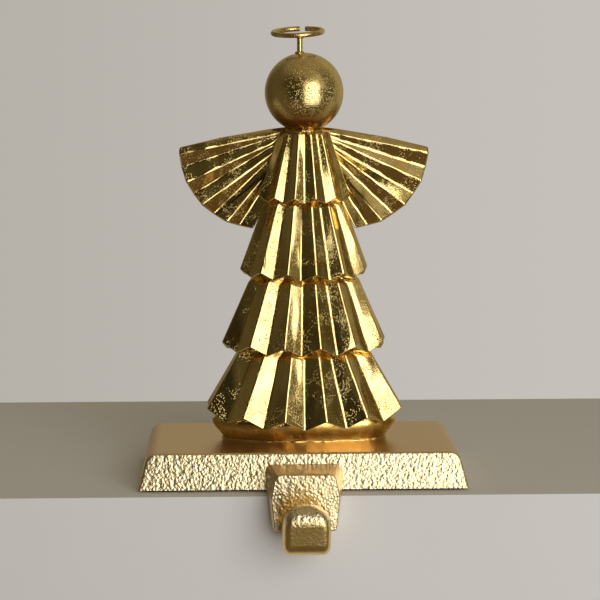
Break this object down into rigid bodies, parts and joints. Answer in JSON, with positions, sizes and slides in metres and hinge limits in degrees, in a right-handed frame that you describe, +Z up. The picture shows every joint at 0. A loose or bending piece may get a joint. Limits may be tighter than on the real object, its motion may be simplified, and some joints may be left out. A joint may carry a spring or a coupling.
{
  "type": "mantel stocking holder",
  "caption": "Gold-finished cast angel with pleated skirt tiers and fan wings on a heavy rectangular base, whose front tab turns into a J-hook over the mantel edge.",
  "frame": {"origin": "on the mantel top, under the middle of the base", "axes": "+Z up, -Y towards the room (the hook's side), +X to the right seen from the front"},
  "size_m": [0.131, 0.0987, 0.1994],
  "materials": {
    "gilded_iron": "gold leaf look over a sand-cast skin, satin on top",
    "gilded_aluminium": "polished gold leaf look with fine broken dark speckle",
    "gilded_wire": "gold leaf look on round wire",
    "screw_steel": "zinc-plated",
    "pad_rubber": "matt"
  },
  "bodies": {
    "root": {"hook_base": "gilded_iron", "angel_figure": "gilded_aluminium", "halo_ring": "gilded_wire", "halo_stem": "gilded_wire", "figure_screw_left": "screw_steel", "figure_screw_right": "screw_steel", "rest_pad": "pad_rubber"}
  },
  "joints": []
}
